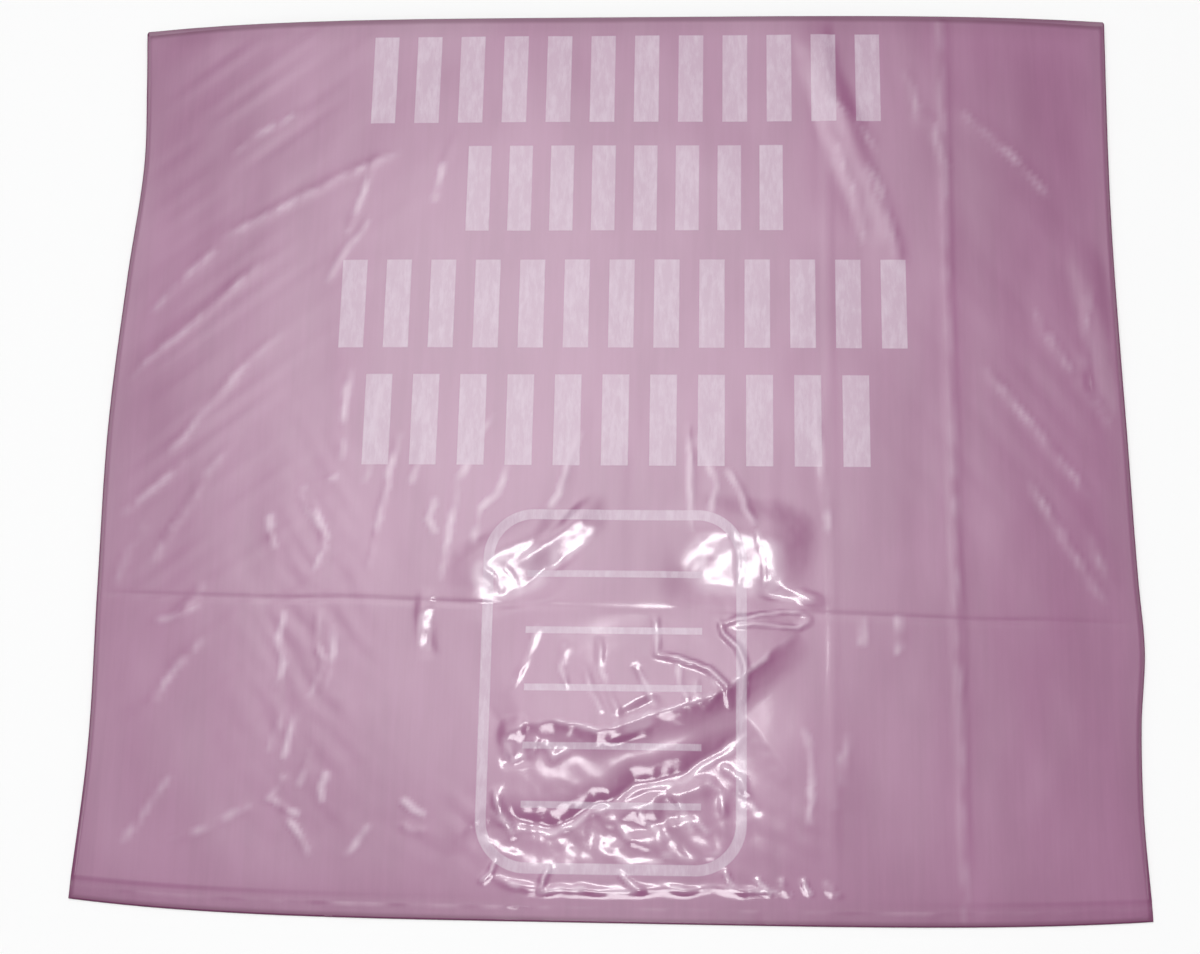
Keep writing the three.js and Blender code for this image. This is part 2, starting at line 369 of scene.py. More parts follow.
# %% Slanting streaks that run from the sides
SLANTED_FOLDS = [
    (0.6, 5, 7, [(-132, 184), (-160, 172), (-190, 156), (-222, 138), (-244, 126)]),
    (0.38, 4, 6, [(-196, 214), (-224, 196), (-244, 178)]),
    (0.6, 5, 6, [(-244, 120), (-262, 104), (-284, 78)]),
    (0.68, 5, 6, [(-214, 114), (-236, 92), (-262, 66), (-284, 46), (-294, 32)]),
    (0.38, 4, 5, [(-150, 140), (-166, 116), (-176, 96)]),
    (0.52, 4, 6, [(-200, 66), (-226, 40), (-246, 14), (-266, -12)]),
    (0.6, 4, 4, [(-222, 6), (-240, -22), (-256, -52), (-270, -78)]),
    (0.6, 6, 7, [(-254, -14), (-272, -32), (-292, -50)]),
    (0.45, 5, 5, [(-276, -52), (-284, -70), (-290, -92)]),
    (0.68, 5, 5, [(-236, -86), (-244, -100), (-254, -112)]),
    (0.6, 5, 5, [(-238, -102), (-250, -108), (-266, -112)]),
    (0.6, 5, 6, [(-234, -120), (-250, -138), (-262, -158), (-278, -166)]),
    (0.38, 6, 7, [(-200, -216), (-222, -228), (-246, -238)]),
    (0.38, 6, 7, [(-248, -200), (-262, -222), (-274, -240)]),
    (0.9, 6, 6, [(284, 100), (279, 70), (277, 38), (288, 16), (296, 4)]),
    (0.6, 5, 6, [(248, 82), (262, 56), (276, 32), (292, 4)]),
    (0.52, 5, 5, [(218, 46), (236, 22), (254, -2), (278, -36)]),
    (0.6, 4, 4, [(240, -22), (258, -52), (272, -78), (284, -98)]),
    (0.45, 5, 5, [(276, -52), (280, -70), (290, -88)]),
    (0.38, 7, 8, [(206, 214), (236, 184), (262, 152)]),
    (0.6, 6, 6, [(118, 246), (126, 222), (148, 200), (158, 182)]),
    (0.68, 7, 7, [(122, 206), (134, 186), (146, 150), (150, 120)]),
    (0.6, 6, 6, [(150, 178), (160, 156), (166, 128), (172, 104)]),
    (0.45, 5, 5, [(188, 210), (194, 192), (200, 170)]),
    (0.38, 6, 6, [(176, 240), (182, 216), (186, 196)]),
]

# %% Puckers along the weld
WELD_FOLDS = [
    (0.9, 4, 5, [(-66, -252), (-52, -258), (-35, -262), (-24, -260), (-2, -261), (26, -260),
                 (53, -259)]),
    (0.7, 3, 4, [(30, -256), (44, -260), (60, -258), (76, -260), (92, -259), (104, -260)]),
    (0.8, 3.5, 3.5, [(-60, -244), (-64, -252), (-70, -258)]),
    (0.8, 3.5, 3.5, [(-30, -248), (-34, -254), (-36, -262)]),
    (0.7, 3.5, 3.5, [(8, -250), (14, -256), (24, -261)]),
    (0.8, 3.5, 3.5, [(66, -248), (70, -256), (78, -262)]),
    (0.7, 3, 3, [(84, -252), (90, -258), (93, -263)]),
    (0.7, 3, 3, [(98, -252), (100, -258), (104, -263)]),
    (0.6, 3, 3, [(110, -252), (112, -258), (116, -262)]),
    (0.5, 3, 3, [(122, -253), (125, -259), (130, -262)]),
]

# %% [markdown]
# ## Facets
#
# Where the film is tented over the crease it forms small flat facets, and a whole facet
# flashes at once when it faces the lamp. Each is a tilted patch: its middle, its half
# lengths, how far it is turned, how much it rises across and along the bag, and how
# strong the pale painted highlight on it is.

# %% Tilted patches
PATCHES = [
    ((-58, -82), (22, 14), 20, (-0.046, 0.072), 0.62),
    ((-28, -67), (20, 7), 36, (-0.037, 0.082), 0.62),
    ((73, -76), (28, 18), -4, (0.024, 0.074), 0.58),
    ((104, -94), (13, 3), -8, (0.060, 0.064), 0.3),
    ((-105, -116), (4, 11), 4, (-0.070, 0.036), 0.5),
    ((15, -168), (12, 5), 20, (-0.004, -0.110), 0.3),
    ((-52, -182), (6, 8), 10, (-0.052, 0.100), 0.3),
    ((42, -214), (13, 6), 15, (0.016, 0.080), 0.0),
    ((16, -224), (13, 6), 20, (-0.004, 0.070), 0.0),
    ((287, 48), (7, 34), 8, (0.070, 0.020), 0.32),
    ((146, 156), (9, 36), 20, (0.022, 0.014), 0.15),
    ((128, 214), (8, 26), 14, (0.017, 0.018), 0.1),
]

FACET_HOLLOW = 0.0006  # how much a facet's slope changes in a millimetre
FACET_RIM = (0.6, 1.7)  # shares of its half lengths between which a facet ends
PALE_HIGHLIGHT_RIM = (0.75, 1.15)  # the same for its painted highlight
TOP_EASE = 0.7  # a facet falls back more slowly on the mouth's side


def patch_inside(x, y, middle, half, turn, full, none):
    """1 well inside a patch and 0 outside it. full and none are shares of its half lengths."""
    turn = math.radians(turn)
    dx, dy = x - middle[0], y - middle[1]
    u = (dx * math.cos(turn) + dy * math.sin(turn)) / half[0]
    v = (dy * math.cos(turn) - dx * math.sin(turn)) / half[1]
    return 1 - smoothstep((u**4 + v**4) ** 0.25, full, none)


def patch_height(x, y, middle, half, turn, rise):
    """What one tilted patch adds, smooth at its rim."""
    dx, dy = x - middle[0], y - middle[1]
    upper = np.where(dy > 0, TOP_EASE, 1.0)
    inside = patch_inside(x, middle[1] + upper * dy, middle, half, turn, *FACET_RIM)
    return inside * (rise[0] * dx + rise[1] * dy + FACET_HOLLOW * (dx**2 + dy**2) / 2)


# %% [markdown]
# ## Small unevenness everywhere
#
# No film lies perfectly flat. Random swells a few centimetres long and a fraction of a
# millimetre high break up the haze, and in the crumpled place a sharper kind of noise
# makes the small facets between the folds. The random numbers come from a fixed seed.


# %% Noise on a lattice
def lattice_noise(x, y, size_x, size_y, seed):
    """Smooth noise from -1 to 1, whose bumps are about size_x by size_y."""
    rng = np.random.default_rng(seed)
    values = rng.uniform(-1, 1, (128, 128))
    u, v = x / size_x + 50.37, y / size_y + 50.61
    i, j = np.floor(u).astype(int), np.floor(v).astype(int)
    fu, fv = u - i, v - j
    fu, fv = fu * fu * (3 - 2 * fu), fv * fv * (3 - 2 * fv)
    i, j = i % 127, j % 127
    lower = values[i, j] * (1 - fu) + values[i + 1, j] * fu
    upper = values[i, j + 1] * (1 - fu) + values[i + 1, j + 1] * fu
    return lower * (1 - fv) + upper * fv


def faceted_noise(x, y, size, seed):
    """Noise of sharp ridges with nearly flat sides, from -1 to 1."""
    rng = np.random.default_rng(seed)
    total = np.zeros(x.shape)
    for _ in range(5):
        turn = rng.uniform(0, math.pi)
        across = x * math.cos(turn) + y * math.sin(turn)
        along = -x * math.sin(turn) + y * math.cos(turn)
        bend = lattice_noise(across, along, size * 2.4, size * 3.1, int(rng.integers(1e6)))
        wave = (across / size + 0.8 * bend) % 2.0
        total += 1 - np.abs(1 - wave) * 2
    return total / 5


def bent(x, y):
    """The same places, nudged a little, so that no fold runs quite straight."""
    bent_x = x + 0.7 * lattice_noise(x, y, 9, 9, 31) + 0.4 * lattice_noise(x, y, 4, 4, 32)
    bent_y = y + 0.7 * lattice_noise(x, y, 9, 9, 33) + 0.4 * lattice_noise(x, y, 4, 4, 34)
    return bent_x, bent_y


# %% [markdown]
# ## The height of the front panel
#
# Trapped air lifts the film in the middle. It falls to the two side folds and to the
# weld. The creases, the folds and the unevenness are added to that, and everything dies
# away at the side folds, where the film turns under.


# %% Height of the film
FOLD_STRENGTHS = [(SMALL_FOLDS, 0.75), (UPRIGHT_FOLDS, 0.4), (SLANTED_FOLDS, 0.42)]
SWELL_EASE = 42.0  # length over which the unevenness starts above the weld
PUCKER_EASE = 3.0  # how soon the puckers start above the weld
CREASE_DEPTH = 0.33
CREASE_HALF = 2.8  # half width of the cross crease
CREASE_WANDER = 1.2
CREASE_LIFT, CREASE_LIFT_HALF = 0.3, 30  # of the film on both sides of it
LONG_CREASE_HEIGHT = 0.3
LONG_CREASE_HALF = 3.6
LONG_CREASE_DIP = 0.12  # beside it, on the right
FAINT_CREASE_HEIGHT = 0.15
SWELLS = [
    # height, size across and along, seed
    (0.3, 42, 70, 14),
    (0.1, 17, 30, 15),
    (0.5, 110, 90, 16),
]

# places with an unevenness of their own: the middle, and the reach across and along
CRUMPLED = ((20, -180), (85, 80))
BELOW_STEP = ((8, -232), (84, 26))
CRUMPLED_LEFT = ((-172, -120), (34, 110))
ABOVE_CREASE = ((-20, -30), (130, 60))
LEFT_SIDE = ((-260, 0), (110, math.inf))
RIGHT_SIDE = ((270, 20), (70, 130))


def bell(distance, half):
    """1 at no distance, about a third at half, and on smoothly to 0."""
    return np.exp(-((distance / half) ** 2))


def around(x, y, place):
    """1 in the middle of a place, falling to 0 well outside its reach."""
    middle, reach = place
    return bell(x - middle[0], reach[0]) * bell(y - middle[1], reach[1])


def ridge(distance, half, power):
    """1 at no distance, falling to 0 at half. A power above 1 makes it sharper."""
    return np.clip(1 - np.abs(distance) / half, 0, 1) ** power


def side_height(y):
    """Height at the side folds, which the weld presses down at the bottom."""
    parted = 1 - np.exp(-np.maximum(y - WELD_TOP, 0) / SIDE_RISE)
    return WELD_HEIGHT + (SIDE_HEIGHT - WELD_HEIGHT) * parted


def front_height(share, x, y):
    """Height of the front panel in millimetres. share runs from -1 to 1 across it."""
    parted = 1 - np.exp(-np.maximum(y - WELD_TOP, 0) / WELD_RISE)
    to_mouth = smoothstep(y, HALF_LENGTH - MOUTH_EASE, HALF_LENGTH)
    air = MIDDLE_AIR + (MOUTH_AIR - MIDDLE_AIR) * to_mouth
    air_height = (1 - np.abs(share) ** 3) * air
    height = np.zeros(x.shape)

    crease = y - (CREASE_Y + CREASE_SLANT * x)
    crease = crease - CREASE_WANDER * lattice_noise(x, y * 0, 45, 60, 3)
    height += CREASE_LIFT * bell(crease, CREASE_LIFT_HALF)
    # the crease nearly vanishes in the middle
    crease_depth = CREASE_DEPTH * (1 - 0.82 * bell(x - 10, 64))
    height -= crease_depth * ridge(crease, CREASE_HALF, 1.3)
    long_crease = x - LONG_CREASE_X
    height += LONG_CREASE_HEIGHT * ridge(long_crease, LONG_CREASE_HALF, 1.4)
    height -= LONG_CREASE_DIP * bell(long_crease - 9, 9)
    faint = x - (LONG_CREASE_X - FAINT_CREASE_GAP)
    height += FAINT_CREASE_HEIGHT * ridge(faint, LONG_CREASE_HALF, 1.4)

    bent_x, bent_y = bent(x, y)
    broken = 0.8 + 0.55 * lattice_noise(x, y, 7, 7, 35)
    for rise, left, right, line in BIG_FOLDS:
        height += fold_height(bent_x, bent_y, rise, left, right, line, sharp=2.0)
    for folds, strength in FOLD_STRENGTHS:
        for rise, left, right, line in folds:
            height += strength * broken * fold_height(bent_x, bent_y, rise, left, right, line)
    puckers = np.zeros(x.shape)
    for rise, left, right, line in WELD_FOLDS:
        puckers += broken * fold_height(bent_x, bent_y, rise, left, right, line)
    for middle, half, turn, rise, _ in PATCHES:
        height += patch_height(bent_x, bent_y, middle, half, turn, rise)

    drawn_left = lattice_noise(x * 0.62 - y * 0.78, x * 0.78 + y * 0.62, 6, 70, 41)
    drawn_right = lattice_noise(x * 0.8 + y * 0.6, y * 0.8 - x * 0.6, 8, 80, 42)
    height += 0.07 * around(x, y, CRUMPLED) * faceted_noise(x, y, 11, 11)
    height += 0.68 * around(x, y, BELOW_STEP) * faceted_noise(x + 0.3 * y, 0.5 * y, 5.5, 17)
    height += 0.2 * around(x, y, CRUMPLED_LEFT) * faceted_noise(x, y, 8, 12)
    height += 0.14 * around(x, y, ABOVE_CREASE) * lattice_noise(x, y, 8, 30, 13)
    height += 0.1 * around(x, y, LEFT_SIDE) * drawn_left
    height += 0.13 * around(x, y, RIGHT_SIDE) * drawn_right
    for amount, across, onwards, seed in SWELLS:
        height += amount * lattice_noise(x, y, across, onwards, seed)

    clear_of_fold = 1 - np.abs(share) ** 14
    above_weld = np.maximum(y - WELD_TOP, 0)
    free = smoothstep(above_weld, 0, SWELL_EASE)
    pucker_free = 1 - np.exp(-above_weld / PUCKER_EASE)
    rise_there = parted * air_height + free * height + pucker_free * puckers
    return side_height(y) + clear_of_fold * rise_there


# %% [markdown]
# ## Whitened creases and painted highlights
#
# Polythene that has been folded sharply turns paler along the fold, because it is
# stretched there. Each fold line gets such a narrow pale streak, broken here and there,
# which is also painted highlight along the fold, and the tented facets get a pale
# painted highlight all over.


# %% Paleness and painted highlight of the creases
WHITENED_AND_HIGHLIT = [
    # the folds, how wide their paleness and painted highlight is and how strong
    (BIG_FOLDS[1:], 2.6, 0.6),
    (SMALL_FOLDS, 2.6, 0.6),
    (UPRIGHT_FOLDS, 3.3, 0.7),
    (SLANTED_FOLDS, 3.4, 0.45),
    (WELD_FOLDS, 2.2, 0.8),
]
# pale painted highlight along the long crease
LONG_CREASE_HIGHLIGHT = 0.32
LONG_CREASE_HIGHLIGHT_HALF = 3.2


def whitening_and_highlight(x, y):
    """How pale the film is painted along its sharp folds and on its facets, from 0 to 1, as a
    painted highlight.
    """
    bent_x, bent_y = bent(x, y)
    broken = np.clip(0.55 + 0.8 * lattice_noise(x, y, 6, 11, 36), 0, 1)
    streaks = np.zeros(x.shape)
    for folds, width, most in WHITENED_AND_HIGHLIT:
        for _, _, _, line in folds:
            streak = fold_height(bent_x, bent_y, 1.0, width, width, line, sharp=0.9)
            streaks = np.maximum(streaks, most * streak)
    long_crease = ridge(x - LONG_CREASE_X, LONG_CREASE_HIGHLIGHT_HALF, 1)
    lines = np.maximum(streaks, LONG_CREASE_HIGHLIGHT * long_crease) * broken
    facets = np.zeros(x.shape)
    for middle, half, turn, _, highlight_paleness in PATCHES:
        facet = patch_inside(bent_x, bent_y, middle, half, turn, *PALE_HIGHLIGHT_RIM)
        facets = np.maximum(facets, highlight_paleness * facet)
    torn = 0.75 + 0.5 * lattice_noise(x, y, 5, 16, 37)
    return np.maximum(lines, facets * torn)


# %% [markdown]
# ## Building the film
#
# The film is one surface without thickness, like the cloth of a garment: real film is a
# twentieth of a millimetre. Each row of points is one turn round the tube: across the
# front, round the right fold, back across the back panel and round the left fold. The
# rows join into a tube, which the weld closes at the bottom and which stays open at the
# mouth.

# %% Points of the film
FOLD_ANGLES = np.radians([60, 30, 0, -30, -60])
BACK_COLUMNS = np.linspace(1, -1, 25)
# heights of the lowest rows, from the cut edge up to the top of the weld
WELD_PROFILE = [0.35, 0.42, 0.52, 0.64, 0.72, 0.74, 0.76, 0.83, 0.9]

along = (rows / HALF_LENGTH)[:, None]
left_x = -HALF_WIDTH - left_out(along) + SIDE_HEIGHT / 2
right_x = HALF_WIDTH + right_out(along) - SIDE_HEIGHT / 2
lip = MOUTH_LIP * smoothstep(rows, HALF_LENGTH - LIP_EASE, HALF_LENGTH)[:, None]
is_weld = np.isin(rows, lower_rows)
weld_profile = np.interp(rows, lower_rows, WELD_PROFILE)[:, None]


def placed(share, x, front):
    """Y of points in their rows: the slant of the crease, the corners and the mouth's lip."""
    slant = CREASE_SLANT * x * np.maximum(0, 1 - along**2)
    pull = np.where(share < 0, CORNER_PULL[0], CORNER_PULL[1]) * share**4 * along**3
    return rows[:, None] + slant - pull - front * lip


def skirt_waves(x):
    """Slight waves along the cut edge of the free film."""
    return 0.1 * lattice_noise(x, x * 0, 14, 14, 21) + 0.05 * lattice_noise(x, x * 0, 5, 5, 22)


front_share = np.broadcast_to(columns, (len(rows), len(columns)))
front_x = left_x + (right_x - left_x) * (front_share + 1) / 2
front_y = placed(front_share, front_x, 1.0)
front_z = front_height(front_share, front_x, front_y)
is_skirt = (rows < skirt_top)[:, None]
welded_z = weld_profile + is_skirt * skirt_waves(front_x) * (1 - front_share**8)
front_z = np.where(is_weld[:, None], welded_z, np.maximum(front_z, LOWEST))

fold_height_at = np.where(is_weld[:, None], weld_profile, side_height(rows)[:, None])
radius = fold_height_at / 2
right_fold_x = right_x + radius * np.cos(FOLD_ANGLES)
right_fold_z = radius + radius * np.sin(FOLD_ANGLES)
right_fold_y = placed(np.ones((1, 1)), right_fold_x, (1 + np.sin(FOLD_ANGLES)) / 2)
left_fold_x = left_x - radius * np.cos(FOLD_ANGLES[::-1])
left_fold_z = radius + radius * np.sin(FOLD_ANGLES[::-1])
left_fold_y = placed(-np.ones((1, 1)), left_fold_x, (1 + np.sin(FOLD_ANGLES[::-1])) / 2)

back_share = np.broadcast_to(BACK_COLUMNS, (len(rows), len(BACK_COLUMNS)))
back_x = left_x + (right_x - left_x) * (back_share + 1) / 2
back_y = placed(back_share, back_x, 0.0)
back_z = np.zeros(back_x.shape)

turn_x = np.concatenate([front_x, right_fold_x, back_x, left_fold_x], axis=1)
turn_y = np.concatenate([front_y, right_fold_y, back_y, left_fold_y], axis=1)
turn_z = np.concatenate([front_z, right_fold_z, back_z, left_fold_z], axis=1)
print("height of the film:", round(float(turn_z.max()), 2), "mm")

# %% Faces of the film
row_count, turn_count = turn_x.shape
numbers = np.arange(row_count * turn_count).reshape(row_count, turn_count)
after = np.roll(numbers, -1, axis=1)
quads = np.stack([numbers[:-1], after[:-1], after[1:], numbers[1:]], axis=-1).reshape(-1, 4)

front_count = len(columns)
front_line = list(range(front_count))
back_line = list(range(front_count, turn_count))[::-1]
cap = []
i = j = 0
# the front and the back edge meet in a zip of triangles, left to right
while i < len(front_line) - 1 or j < len(back_line) - 1:
    next_front = turn_x[0, front_line[min(i + 1, len(front_line) - 1)]]
    next_back = turn_x[0, back_line[min(j + 1, len(back_line) - 1)]]
    take_front = j == len(back_line) - 1 or (i < len(front_line) - 1 and next_front < next_back)
    if take_front:
        cap.append((front_line[i], back_line[j], front_line[i + 1]))
        i += 1
    else:
        cap.append((front_line[i], back_line[j], back_line[j + 1]))
        j += 1

film_mesh = bpy.data.meshes.new("bag_film")
points = np.stack([turn_x, turn_y, turn_z], axis=-1).reshape(-1, 3) * MM
film_mesh.from_pydata(points.tolist(), [], quads.tolist() + cap)
film_mesh.validate()
film_mesh.shade_smooth()
film = bpy.data.objects.new("bag_film", film_mesh)
scene.collection.objects.link(film)
triangles = sum(len(p.vertices) - 2 for p in film_mesh.polygons)
print("film:", len(film_mesh.vertices), "points,", triangles, "triangles")

# %% [markdown]
# ## What the finish needs to know about the surface
#
# The print has to follow the film, so each point remembers where it lay on the flat
# film. The thin dark line round the bag is painted shade, standing in for the light that
# runs along inside the folded film, so each point also keeps how near it is to the outline.

# %% Attributes of the film
outline_gap = np.minimum.reduce(
    [
        np.abs(turn_x - (left_x - SIDE_HEIGHT / 2)),
        np.abs(right_x + SIDE_HEIGHT / 2 - turn_x),
        np.broadcast_to((rows + HALF_LENGTH)[:, None], turn_x.shape),
        np.broadcast_to((HALF_LENGTH - rows)[:, None], turn_x.shape),
    ]
)
is_front = np.zeros(turn_x.shape)
is_front[:, :front_count] = 1.0


def point_attribute(mesh, name, values):
    """Keeps one number for each point of the mesh, for its shader to read."""
    layer = mesh.attributes.new(name, "FLOAT", "POINT")
    layer.data.foreach_set("value", np.ascontiguousarray(values, dtype=np.float32).ravel())


point_attribute(film_mesh, "outline_gap", outline_gap)
point_attribute(film_mesh, "front", is_front)
# painted highlight along the folds and on the facets, on the front panel only
highlight_paleness = np.zeros(turn_x.shape)
highlight_paleness[:, :front_count] = whitening_and_highlight(front_x, front_y) * (1 - front_share**20)
point_attribute(film_mesh, "pale", highlight_paleness)
point_attribute(film_mesh, "flat_x", turn_x)
point_attribute(film_mesh, "flat_y", turn_y)

# %% [markdown]
# ## Writing shaders as sums
#
# A material is a graph of small sums. A short class lets them be written as ordinary
# Python expressions, which is far easier to read than a list of nodes and links.


# %% Shader maths
class Sum:
    """A node socket that can be added, multiplied and so on."""

    def __init__(self, tree, socket):
        self.tree = tree
        self.socket = socket

    def node(self, kind, settings=None, inputs=None):
        made = self.tree.nodes.new(kind)
        for name, value in (settings or {}).items():
            setattr(made, name, value)
        for key, value in (inputs or {}).items():
            self.feed(made.inputs[key], value)
        return made

    def feed(self, socket, value):
        if isinstance(value, Sum):
            self.tree.links.new(value.socket, socket)
        else:
            socket.default_value = value

    def math(self, operation, *values):
        made = self.node("ShaderNodeMath", {"operation": operation}, dict(enumerate(values)))
        return Sum(self.tree, made.outputs[0])

    def __add__(self, other):
        return self.math("ADD", self, other)

    __radd__ = __add__

    def __mul__(self, other):
        return self.math("MULTIPLY", self, other)

    __rmul__ = __mul__

    def __sub__(self, other):
        return self.math("SUBTRACT", self, other)

    def __rsub__(self, other):
        return self.math("SUBTRACT", other, self)

    def __truediv__(self, other):
        return self.math("DIVIDE", self, other)

    def __abs__(self):
        return self.math("ABSOLUTE", self)

    def bigger(self, other):
        return self.math("MAXIMUM", self, other)

    def smaller(self, other):
        return self.math("MINIMUM", self, other)

    def faded(self, high, low):
        """1 where the value is under high, 0 where it is over low, and smooth between."""
        made = self.node(
            "ShaderNodeMapRange",
            {"interpolation_type": "SMOOTHSTEP"},
            {"Value": self, "From Min": high, "From Max": low, "To Min": 1.0, "To Max": 0.0},
        )
        return Sum(self.tree, made.outputs["Result"])

    def mixed(self, first, second):
        """The colour first where this value is 0, and second where it is 1."""
        made = self.node("ShaderNodeMix", {"data_type": "RGBA"})
        self.feed(made.inputs["Factor"], self)
        self.feed(made.inputs[6], first)
        self.feed(made.inputs[7], second)
        return Sum(self.tree, made.outputs[2])


def new_material(name):
    """A material, a Sum to build its graph with, and its shader node."""
    material = bpy.data.materials.new(name)
    material.use_nodes = True
    tree = material.node_tree
    shader = tree.nodes["Principled BSDF"]
    return material, Sum(tree, None), shader


# %% [markdown]
# ## The finish of the film
#
# Polythene film has two kinds of gloss at once. Its body is slightly cloudy, which
# spreads the light into a wide soft haze, and its skin is smooth, which gives the hard
# little glints. The principled shader's base takes the haze and its coat takes the
# glints. The ink is a paler, duller layer on the front panel only.

# %% Film material
# the depth of the film's colour wanders between these two
DARK_TONE = (0.224, 0.044, 0.151, 1)
LIGHT_TONE = (0.264, 0.063, 0.184, 1)
RIM_SHADE_COLOUR = (0.14, 0.015, 0.082, 1)  # painted shade at the outline
INK_COLOUR = (0.49, 0.36, 0.46, 1)
PALE_HIGHLIGHT_COLOUR = (0.66, 0.52, 0.62, 1)  # paleness of stretched film along the folds, and painted highlight there and on the facets
PRINT_ROWS = [
    # lower and upper edge, left and right end, number of bars
    (203.0, 262.0, -154.0, 161.0, 12),
    (131.0, 187.0, -92.0, 101.0, 8),
    (56.0, 112.0, -166.0, 174.0, 13),
    (-17.0, 39.0, -148.0, 151.0, 11),
]
BAR_SHARE = 0.56  # how much of a bar's pitch is ink
INK_COVER, INK_WORN = 0.92, 0.3  # how well the ink covers, and what it loses where worn
INK_EDGE = 0.5  # how soft the edge of the ink is
FRAME_CENTRE = (3.0, -148.0)
FRAME_HALF = (73.0, 101.0)  # half its width and half its height
FRAME_ROUND = 26.0  # radius of its corners
FRAME_STROKE = 6.0
RULE_PITCH = 33.0
RULE_HALF = 1.9  # half the width of a rule's stroke
RULE_REACH = 50.0  # half the length of a rule
RULE_CLEAR = 12.0  # how far the rules stay away from the frame
RIM_SHADE_NARROW = (0.8, 4.0)  # distances from the outline over which its painted rim shade fades
RIM_SHADE_WIDE = (3.0, 18.0)

film_material, make, film_shader = new_material("purple_film")


def stored(name):
    """A point attribute of the film, as a value in its shader."""
    made = make.node("ShaderNodeAttribute", {"attribute_name": name})
    return Sum(make.tree, made.outputs["Fac"])


flat_x = stored("flat_x")
flat_y = stored("flat_y")
front = stored("front")
gap = stored("outline_gap")
# pale: the painted highlight along the folds and on the facets
pale = stored("pale")
place = make.node("ShaderNodeTexCoord").outputs["Object"]


def noise(scale, detail, rough, stretch=(1, 1, 1), turn=0.0):
    """Noise from 0 to 1 that stays with the film. A small stretch draws it out."""
    mapping = make.node("ShaderNodeMapping")
    mapping.inputs["Scale"].default_value = stretch
    mapping.inputs["Rotation"].default_value = (0, 0, turn)
    make.tree.links.new(place, mapping.inputs["Vector"])
    made = make.node(
        "ShaderNodeTexNoise", {}, {"Scale": scale, "Detail": detail, "Roughness": rough}
    )
    make.tree.links.new(mapping.outputs["Vector"], made.inputs["Vector"])
    return Sum(make.tree, made.outputs["Fac"])


def band(value, low, high, soft):
    """1 where value lies between low and high."""
    middle, half = (low + high) / 2, (high - low) / 2
    return abs(value - middle).faded(half - soft, half + soft)


# four rows of upright bars
ink = None
for low, high, left, right, count in PRINT_ROWS:
    pitch = (right - left) / (count - (1 - BAR_SHARE))
    in_row = band(flat_y, low, high, INK_EDGE) * band(flat_x, left, right, INK_EDGE)
    phase = make.math("FRACT", (flat_x - left) / pitch)
    bar = (abs(phase - BAR_SHARE / 2) * pitch).faded(
        BAR_SHARE * pitch / 2 - INK_EDGE, BAR_SHARE * pitch / 2 + INK_EDGE
    )
    row = in_row * bar
    ink = row if ink is None else ink.bigger(row)

# a rounded frame, as the distance from its middle line, and the rules inside it
qx = abs(flat_x - FRAME_CENTRE[0]) - (FRAME_HALF[0] - FRAME_ROUND)
qy = abs(flat_y - FRAME_CENTRE[1]) - (FRAME_HALF[1] - FRAME_ROUND)
outer_x, outer_y = qx.bigger(0.0), qy.bigger(0.0)
reach = make.math("SQRT", outer_x * outer_x + outer_y * outer_y) + qx.bigger(qy).smaller(0.0)
frame_line = abs(reach - FRAME_ROUND).faded(
    FRAME_STROKE / 2 - INK_EDGE, FRAME_STROKE / 2 + INK_EDGE
)
rule_phase = make.math("FRACT", (flat_y - FRAME_CENTRE[1]) / RULE_PITCH + 0.5) - 0.5
rules = (abs(rule_phase) * RULE_PITCH).faded(RULE_HALF - INK_EDGE, RULE_HALF + INK_EDGE)
rules = rules * abs(flat_x - FRAME_CENTRE[0]).faded(RULE_REACH, RULE_REACH + 2 * INK_EDGE)
rules = rules * reach.faded(FRAME_ROUND - RULE_CLEAR, FRAME_ROUND - RULE_CLEAR + 2.0)
ink = ink.bigger(frame_line).bigger(rules) * front
worn = noise(260, 4.0, 0.7, (1, 0.25, 1)).faded(0.3, 0.62)
ink_cover = ink * (INK_COVER - INK_WORN * (1 - worn))

# %% Film colour and gloss
cloudy = noise(9, 3.0, 0.5)
drawn = noise(210, 3.0, 0.65, (1, 0.05, 1))
streaky = noise(34, 4.0, 0.6, (1, 0.35, 1), 0.6)
depth = (cloudy * 0.42 + drawn * 0.25 + streaky * 0.33).faded(0.36, 0.64)
# painted shade along the outline, strong near it and fading inwards; it also dulls the coat
# there
rim = gap.faded(*RIM_SHADE_NARROW) * 0.8 + gap.faded(*RIM_SHADE_WIDE) * 0.2
colour = depth.mixed(DARK_TONE, LIGHT_TONE)
# painted highlight along the folds and on the facets, with the paleness of stretched film on the
# folds
colour = (pale * 0.75).mixed(colour, PALE_HIGHLIGHT_COLOUR)
colour = rim.smaller(1.0).mixed(colour, RIM_SHADE_COLOUR)
colour = ink_cover.mixed(colour, INK_COLOUR)
make.feed(film_shader.inputs["Base Color"], colour)
make.feed(film_shader.inputs["Roughness"], 0.42 + 0.1 * cloudy + 0.06 * ink_cover)
film_shader.inputs["Specular IOR Level"].default_value = 0.6
film_shader.inputs["IOR"].default_value = 1.5
make.feed(film_shader.inputs["Coat Weight"], 0.88 - 0.25 * ink_cover - 0.5 * rim)
film_shader.inputs["Coat Roughness"].default_value = 0.11
film_shader.inputs["Coat IOR"].default_value = 1.6

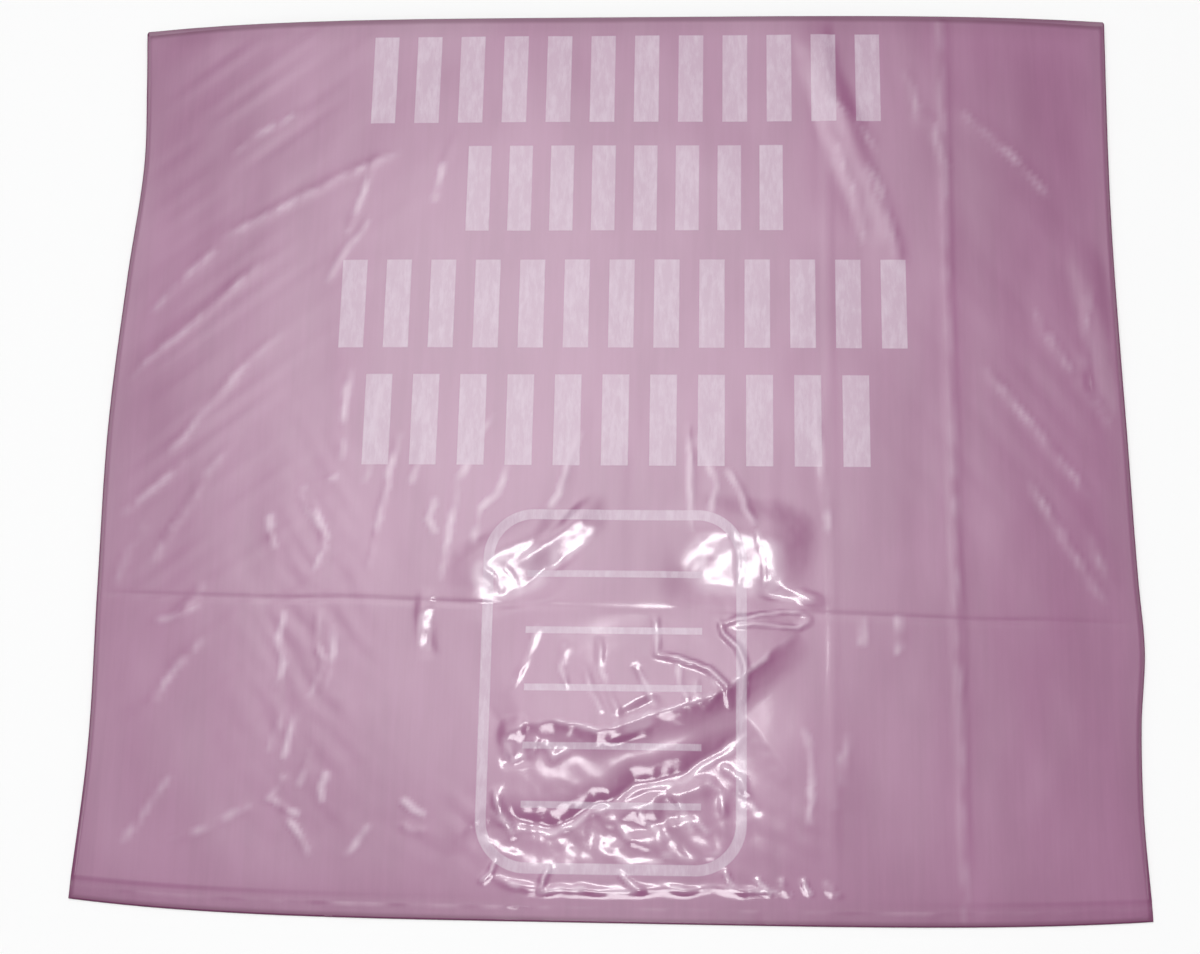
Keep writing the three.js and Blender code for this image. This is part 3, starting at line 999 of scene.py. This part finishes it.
fine_wrinkles = noise(95, 5.0, 0.6, (1, 0.35, 1), 0.25)
soft_cockle = noise(26, 3.0, 0.5, (1, 0.5, 1), -0.4)
relief = fine_wrinkles * 0.35 + soft_cockle * 0.65
bump = make.node("ShaderNodeBump", {}, {"Strength": 0.35, "Distance": 0.0012, "Height": relief})
make.tree.links.new(bump.outputs["Normal"], film_shader.inputs["Normal"])
film_mesh.materials.append(film_material)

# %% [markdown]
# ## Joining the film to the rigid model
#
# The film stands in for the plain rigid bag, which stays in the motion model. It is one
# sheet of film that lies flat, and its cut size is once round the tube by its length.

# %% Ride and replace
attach(film, "root")
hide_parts("bag")

# %% [markdown]
# ## Floor and light
#
# Flat film would mirror a lamp as one blank patch. So each lamp hangs where only a slope
# can mirror it: a narrow lamp whose mirror image falls in the trough, a lamp beyond the
# weld, and a strip along each side for the upright wrinkles. A glow in the sky gives the
# haze.

# %% Floor
bpy.ops.mesh.primitive_plane_add(size=6, location=(0, 0, -0.0004))
floor = bpy.context.object
floor.name = "floor"
floor_material, _, floor_shader = new_material("pale_floor")
floor_shader.inputs["Base Color"].default_value = (0.93, 0.93, 0.93, 1)
floor_shader.inputs["Roughness"].default_value = 0.9
floor_shader.inputs["Specular IOR Level"].default_value = 0.0
floor.data.materials.append(floor_material)

# %% Sky of soft light
SKY_LEVEL = 0.38  # everywhere
SKY_PEAK = 5.4  # what the glow adds at its middle
SKY_MIDDLE = (-0.11, 0.315)  # sideways and onwards for one up
SKY_REACH = (0.3, 0.37)
HORIZON = 0.02  # a direction that rises less counts as rising this much

world = bpy.data.worlds.new("soft_sky")
world.use_nodes = True
scene.world = world
sky = Sum(world.node_tree, None)
background = world.node_tree.nodes["Background"]
background.inputs["Color"].default_value = (1, 1, 1, 1)
direction = sky.node("ShaderNodeSeparateXYZ")
looking = sky.node("ShaderNodeTexCoord").outputs["Generated"]
world.node_tree.links.new(looking, direction.inputs[0])
sideways, onwards, upwards = (Sum(world.node_tree, direction.outputs[i]) for i in range(3))
upwards = upwards.bigger(HORIZON)
u = (sideways / upwards - SKY_MIDDLE[0]) / SKY_REACH[0]
v = (onwards / upwards - SKY_MIDDLE[1]) / SKY_REACH[1]
glow = sky.math("EXPONENT", (u * u + v * v) * -1.0)
sky.feed(background.inputs["Strength"], glow * SKY_PEAK + SKY_LEVEL)

# %% Lamps and strips
# name, place, size across and along, turn about the upright, power
LIGHTS = [
    ("trough_lamp", (-0.044, 0.069, 2.0), (0.28, 0.10), 19, 1.9),
    ("weld_lamp", (-0.03, -0.62, 2.0), (0.36, 0.3), 0, 4.0),
    ("left_strip", (-1.5, 0.75, 2.0), (0.26, 2.1), 0, 6.5),
    ("right_strip", (1.25, 0.6, 2.0), (0.2, 1.8), 0, 3.5),
]

for name, place_at, size, turn, power in LIGHTS:
    light_data = bpy.data.lights.new(name, "AREA")
    light_data.shape = "RECTANGLE"
    light_data.size, light_data.size_y = size
    light_data.energy = power
    light = bpy.data.objects.new(name, light_data)
    light.location = place_at
    light.rotation_euler = (0, math.atan2(place_at[0], place_at[2]), math.radians(turn))
    scene.collection.objects.link(light)

scene.view_settings.view_transform = "Standard"
scene.view_settings.look = "None"
